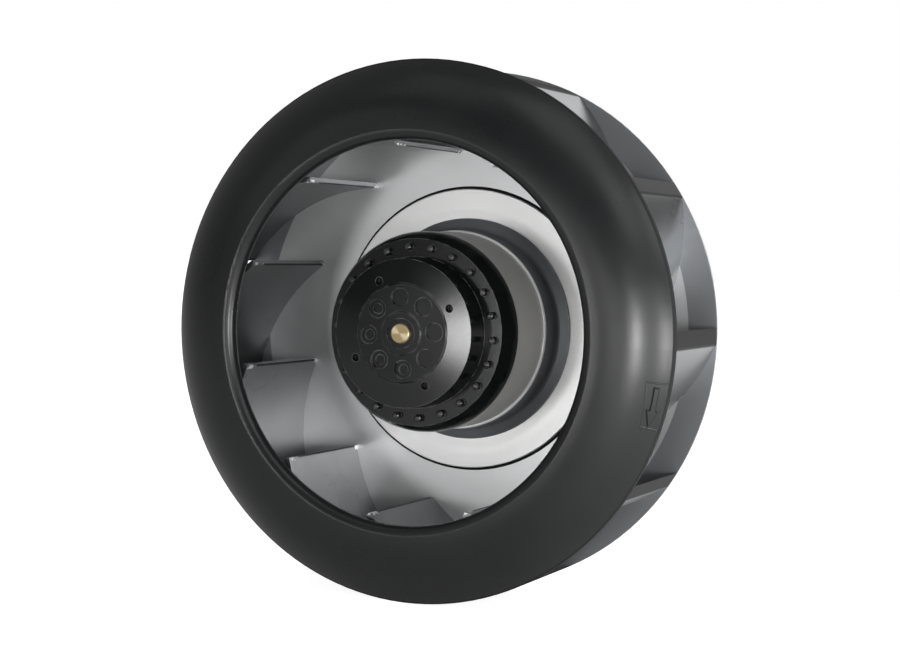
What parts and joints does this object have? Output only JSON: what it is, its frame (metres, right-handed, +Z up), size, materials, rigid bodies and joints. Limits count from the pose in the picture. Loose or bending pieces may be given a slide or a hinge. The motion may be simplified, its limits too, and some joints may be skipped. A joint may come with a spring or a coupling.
{
  "type": "centrifugal blower",
  "caption": "Motorised centrifugal blower wheel: backward-curved blades between a back plate and a curved inlet shroud, turned by an external-rotor motor on a rear flange.",
  "frame": {"origin": "centre of the four tapped holes, on the motor flange's rear face", "axes": "+Y along the shaft towards the wall that the flange is bolted to, so the inlet faces -Y; +Z up, +X to the right as seen from the inlet side"},
  "size_m": [0.22, 0.0748, 0.22],
  "materials": {
    "shroud_black": "satin black moulding",
    "impeller_metal": "satin grey sheet",
    "bright_ring": "bright turned face",
    "cone_dark": "dark satin moulding",
    "sleeve_grey": "light grey satin",
    "rotor_black": "gloss black enamel",
    "lamination": "stacked sheet",
    "cast_alloy": "as cast",
    "shaft_brass": "turned end",
    "spring_steel": "dark spring steel",
    "flange_alloy": "die cast, machined face",
    "grommet_rubber": "matt",
    "zinc_steel": "zinc plated",
    "insulator_plastic": "natural moulding",
    "winding_copper": "lacquered copper wire",
    "bearing_steel": "ground and polished"
  },
  "bodies": {
    "stator": {"motor_flange": "flange_alloy", "cable_grommet": "grommet_rubber", "dust_cap": "zinc_steel", "preload_washer": "spring_steel", "stator_core": "lamination", "insulator_front": "insulator_plastic", "insulator_rear": "insulator_plastic", "stator_winding": "winding_copper", "thermal_cutout": "insulator_plastic", "front_bearing_outer_ring": "bearing_steel", "front_bearing_shields": "zinc_steel", "rear_bearing_outer_ring": "bearing_steel", "rear_bearing_shields": "zinc_steel"},
    "rotor": {"rotor_cap": "rotor_black", "rotor_sleeve": "sleeve_grey", "rotor_core": "lamination", "rotor_cage": "cast_alloy", "shaft": "shaft_brass", "circlip": "spring_steel", "front_bearing_inner_ring": "bearing_steel", "rear_bearing_inner_ring": "bearing_steel", "hub_cone": "cone_dark", "clamp_ring": "bright_ring", "back_plate": "impeller_metal", "inlet_shroud": "shroud_black", "blade_01": "impeller_metal", "blade_02": "impeller_metal", "blade_03": "impeller_metal", "blade_04": "impeller_metal", "blade_05": "impeller_metal", "blade_06": "impeller_metal", "blade_07": "impeller_metal", "blade_08": "impeller_metal", "blade_09": "impeller_metal", "blade_10": "impeller_metal", "blade_11": "impeller_metal"},
    "rear_ball_row": {"rear_bearing_balls": "bearing_steel", "rear_bearing_cage": "zinc_steel"},
    "front_ball_row": {"front_bearing_balls": "bearing_steel", "front_bearing_cage": "zinc_steel"}
  },
  "joints": [
    {"name": "rotor_spin", "type": "hinge", "parent": "stator", "child": "rotor", "pos_m": [0, 0, 0], "axis": [0, 1, 0], "continuous": true},
    {"name": "rear_balls_spin", "type": "hinge", "parent": "stator", "child": "rear_ball_row", "pos_m": [0, -0.008, 0], "axis": [0, 1, 0], "continuous": true},
    {"name": "front_balls_spin", "type": "hinge", "parent": "stator", "child": "front_ball_row", "pos_m": [0, -0.058, 0], "axis": [0, 1, 0], "continuous": true}
  ],
  "couplings": [
    {"joint": "rear_balls_spin", "follows": "rotor_spin", "ratio": 0.368},
    {"joint": "front_balls_spin", "follows": "rotor_spin", "ratio": 0.368}
  ]
}
